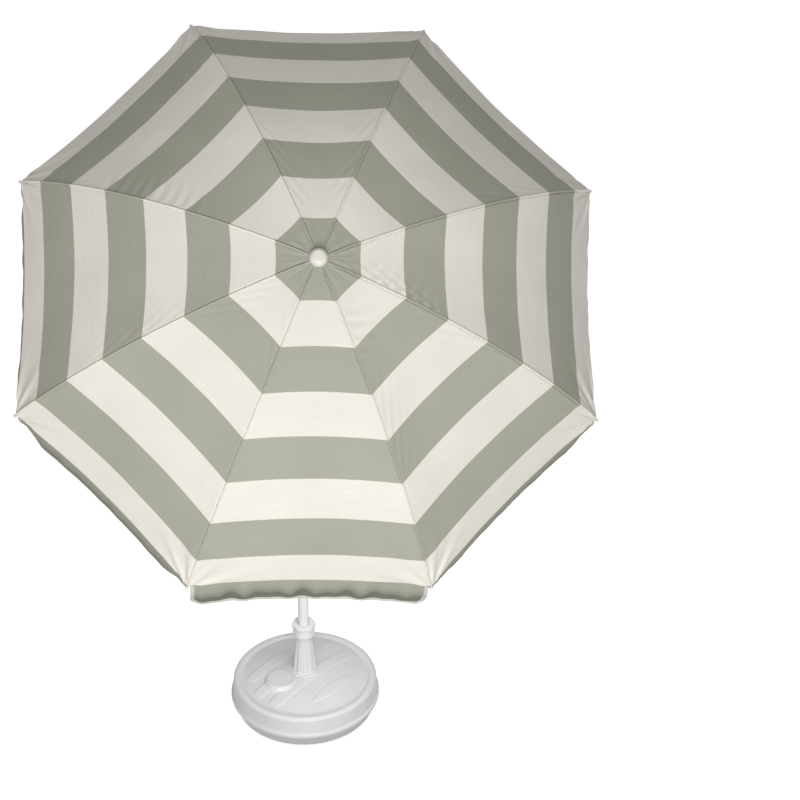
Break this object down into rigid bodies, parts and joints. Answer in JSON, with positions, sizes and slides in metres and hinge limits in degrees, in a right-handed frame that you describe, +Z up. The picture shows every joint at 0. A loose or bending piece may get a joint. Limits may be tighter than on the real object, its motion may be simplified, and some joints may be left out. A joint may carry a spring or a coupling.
{
  "type": "patio umbrella with base",
  "caption": "Tilting patio umbrella with a banded, valanced canopy that folds on a sliding runner, on a telescopic pole that swivels in a round weighted base with a locking collar.",
  "frame": {"origin": "middle of the base's underside, on the floor", "axes": "+Z up along the lower pole; the tilted canopy leans towards -Y; +X along the tilt pin"},
  "size_m": [1.5205, 1.2131, 2.2254],
  "materials": {
    "shell_white": "satin moulded plastic",
    "shell_grey": "satin moulded plastic",
    "fitting_white": "satin moulded plastic",
    "sand": "loose sand and gravel",
    "seal": "matt",
    "pole_white": "powder coated steel tube",
    "rib_white": "powder coated steel wire",
    "pin_steel": "plain steel",
    "canopy_fabric": "woven polyester, printed in bands"
  },
  "bodies": {
    "base": {"base_pan": "shell_grey", "base_cover": "shell_white", "base_post": "shell_white", "grip_collet": "fitting_white", "ballast": "sand"},
    "filler_cap": {"filler_cap": "shell_white", "cap_gasket": "seal"},
    "locking_collar": {"locking_collar": "shell_white"},
    "lower_pole": {"lower_pole": "pole_white", "foot_plug": "fitting_white", "height_clamp": "fitting_white"},
    "height_knob": {"height_knob": "fitting_white"},
    "mid_pole": {"mid_pole": "pole_white", "guide_plug": "fitting_white", "tilt_fork": "fitting_white", "tilt_pin": "pin_steel"},
    "tilt_button": {"tilt_button": "fitting_white"},
    "head": {"tilt_tongue": "fitting_white", "upper_pole": "pole_white", "crown_hub": "fitting_white", "crown_pins": "pin_steel"},
    "finial": {"finial": "fitting_white"},
    "rib_1": {"rib_1": "rib_white", "rib_tip_1": "fitting_white", "gore_1": "canopy_fabric"},
    "stretcher_1": {"stretcher_1": "rib_white"},
    "rib_2": {"rib_2": "rib_white", "rib_tip_2": "fitting_white", "gore_2": "canopy_fabric"},
    "stretcher_2": {"stretcher_2": "rib_white"},
    "rib_3": {"rib_3": "rib_white", "rib_tip_3": "fitting_white", "gore_3": "canopy_fabric"},
    "stretcher_3": {"stretcher_3": "rib_white"},
    "rib_4": {"rib_4": "rib_white", "rib_tip_4": "fitting_white", "gore_4": "canopy_fabric"},
    "stretcher_4": {"stretcher_4": "rib_white"},
    "rib_5": {"rib_5": "rib_white", "rib_tip_5": "fitting_white", "gore_5": "canopy_fabric"},
    "stretcher_5": {"stretcher_5": "rib_white"},
    "rib_6": {"rib_6": "rib_white", "rib_tip_6": "fitting_white", "gore_6": "canopy_fabric"},
    "stretcher_6": {"stretcher_6": "rib_white"},
    "rib_7": {"rib_7": "rib_white", "rib_tip_7": "fitting_white", "gore_7": "canopy_fabric"},
    "stretcher_7": {"stretcher_7": "rib_white"},
    "rib_8": {"rib_8": "rib_white", "rib_tip_8": "fitting_white", "gore_8": "canopy_fabric"},
    "stretcher_8": {"stretcher_8": "rib_white"},
    "runner": {"runner": "fitting_white", "runner_pins": "pin_steel"},
    "runner_screw": {"runner_screw": "fitting_white"}
  },
  "joints": [
    {"name": "cap_lift", "type": "slide", "parent": "base", "child": "filler_cap", "axis": [0, 0, 1], "range_m": [0, 0.03]},
    {"name": "collar_turn", "type": "hinge", "parent": "base", "child": "locking_collar", "pos_m": [0, 0, 0.28], "axis": [0, 0, 1], "range_deg": [0, 270]},
    {"name": "pole_swivel", "type": "hinge", "parent": "base", "child": "lower_pole", "pos_m": [0, 0, 0.2], "axis": [0, 0, 1], "continuous": true},
    {"name": "height_slide", "type": "slide", "parent": "lower_pole", "child": "mid_pole", "axis": [0, 0, 1], "range_m": [-0.27, 0.06]},
    {"name": "knob_turn", "type": "hinge", "parent": "lower_pole", "child": "height_knob", "pos_m": [0.03, 0, 0.856], "axis": [1, 0, 0], "continuous": true},
    {"name": "canopy_tilt", "type": "hinge", "parent": "mid_pole", "child": "head", "pos_m": [0, 0, 1.24], "axis": [1, 0, 0], "range_deg": [-46, 0]},
    {"name": "tilt_button_press", "type": "slide", "parent": "mid_pole", "child": "tilt_button", "axis": [0, 1, 0], "range_m": [0, 0.0038], "stiffness_N_per_m": 800},
    {"name": "finial_turn", "type": "hinge", "parent": "head", "child": "finial", "pos_m": [0, -0.74452, 1.95897], "axis": [0, -0.7193, 0.6947], "continuous": true},
    {"name": "canopy_fold", "type": "hinge", "parent": "head", "child": "rib_1", "pos_m": [0.01712, -0.72986, 1.95255], "axis": [-0.309, 0.6607, 0.6841], "range_deg": [0, 55], "deforming": ["gore_1", "gore_2", "gore_3", "gore_4", "gore_5", "gore_6", "gore_7", "gore_8"]},
    {"name": "stretcher_fold_1", "type": "hinge", "parent": "rib_1", "child": "stretcher_1", "pos_m": [0.42758, -0.55548, 1.96956], "axis": [-0.309, 0.6607, 0.6841], "range_deg": [-110, 0]},
    {"name": "rib_fold_2", "type": "hinge", "parent": "head", "child": "rib_2", "pos_m": [0.00817, -0.72259, 1.96009], "axis": [-0.891, 0.3154, 0.3266], "range_deg": [0, 55]},
    {"name": "stretcher_fold_2", "type": "hinge", "parent": "rib_2", "child": "stretcher_2", "pos_m": [0.20411, -0.37372, 2.15778], "axis": [-0.891, 0.3154, 0.3266], "range_deg": [-110, 0]},
    {"name": "rib_fold_3", "type": "hinge", "parent": "head", "child": "rib_3", "pos_m": [-0.00556, -0.72183, 1.96087], "axis": [-0.9511, -0.2147, -0.2223], "range_deg": [0, 55]},
    {"name": "stretcher_fold_3", "type": "hinge", "parent": "rib_3", "child": "stretcher_3", "pos_m": [-0.13893, -0.35497, 2.1772], "axis": [-0.9511, -0.2147, -0.2223], "range_deg": [-110, 0]},
    {"name": "rib_fold_4", "type": "hinge", "parent": "head", "child": "rib_4", "pos_m": [-0.01604, -0.72805, 1.95443], "axis": [-0.454, -0.6189, -0.6409], "range_deg": [0, 55]},
    {"name": "stretcher_fold_4", "type": "hinge", "parent": "rib_4", "child": "stretcher_4", "pos_m": [-0.40059, -0.5102, 2.01644], "axis": [-0.454, -0.6189, -0.6409], "range_deg": [-110, 0]},
    {"name": "rib_fold_5", "type": "hinge", "parent": "head", "child": "rib_5", "pos_m": [-0.01712, -0.73759, 1.94455], "axis": [0.309, -0.6607, -0.6841], "range_deg": [0, 55]},
    {"name": "stretcher_fold_5", "type": "hinge", "parent": "rib_5", "child": "stretcher_5", "pos_m": [-0.42758, -0.7485, 1.76968], "axis": [0.309, -0.6607, -0.6841], "range_deg": [-110, 0]},
    {"name": "rib_fold_6", "type": "hinge", "parent": "head", "child": "rib_6", "pos_m": [-0.00817, -0.74487, 1.93701], "axis": [0.891, -0.3154, -0.3266], "range_deg": [0, 55]},
    {"name": "stretcher_fold_6", "type": "hinge", "parent": "rib_6", "child": "stretcher_6", "pos_m": [-0.20411, -0.93026, 1.58146], "axis": [0.891, -0.3154, -0.3266], "range_deg": [-110, 0]},
    {"name": "rib_fold_7", "type": "hinge", "parent": "head", "child": "rib_7", "pos_m": [0.00556, -0.74562, 1.93624], "axis": [0.9511, 0.2147, 0.2223], "range_deg": [0, 55]},
    {"name": "stretcher_fold_7", "type": "hinge", "parent": "rib_7", "child": "stretcher_7", "pos_m": [0.13893, -0.94901, 1.56204], "axis": [0.9511, 0.2147, 0.2223], "range_deg": [-110, 0]},
    {"name": "rib_fold_8", "type": "hinge", "parent": "head", "child": "rib_8", "pos_m": [0.01604, -0.7394, 1.94267], "axis": [0.454, 0.6189, 0.6409], "range_deg": [0, 55]},
    {"name": "stretcher_fold_8", "type": "hinge", "parent": "rib_8", "child": "stretcher_8", "pos_m": [0.40059, -0.79378, 1.7228], "axis": [0.454, 0.6189, 0.6409], "range_deg": [-110, 0]},
    {"name": "runner_pivot", "type": "hinge", "parent": "stretcher_1", "child": "runner", "pos_m": [0.01712, -0.56639, 1.79469], "axis": [-0.309, 0.6607, 0.6841], "range_deg": [0, 55]},
    {"name": "runner_screw_turn", "type": "hinge", "parent": "runner", "child": "runner_screw", "pos_m": [0, -0.54751, 1.7437], "axis": [0, -0.6947, -0.7193], "continuous": true}
  ],
  "couplings": [
    {"joint": "stretcher_fold_1", "follows": "canopy_fold", "ratio": -2},
    {"joint": "rib_fold_2", "follows": "canopy_fold", "ratio": 1},
    {"joint": "stretcher_fold_2", "follows": "canopy_fold", "ratio": -2},
    {"joint": "rib_fold_3", "follows": "canopy_fold", "ratio": 1},
    {"joint": "stretcher_fold_3", "follows": "canopy_fold", "ratio": -2},
    {"joint": "rib_fold_4", "follows": "canopy_fold", "ratio": 1},
    {"joint": "stretcher_fold_4", "follows": "canopy_fold", "ratio": -2},
    {"joint": "rib_fold_5", "follows": "canopy_fold", "ratio": 1},
    {"joint": "stretcher_fold_5", "follows": "canopy_fold", "ratio": -2},
    {"joint": "rib_fold_6", "follows": "canopy_fold", "ratio": 1},
    {"joint": "stretcher_fold_6", "follows": "canopy_fold", "ratio": -2},
    {"joint": "rib_fold_7", "follows": "canopy_fold", "ratio": 1},
    {"joint": "stretcher_fold_7", "follows": "canopy_fold", "ratio": -2},
    {"joint": "rib_fold_8", "follows": "canopy_fold", "ratio": 1},
    {"joint": "stretcher_fold_8", "follows": "canopy_fold", "ratio": -2},
    {"joint": "runner_pivot", "follows": "canopy_fold", "ratio": 1}
  ]
}
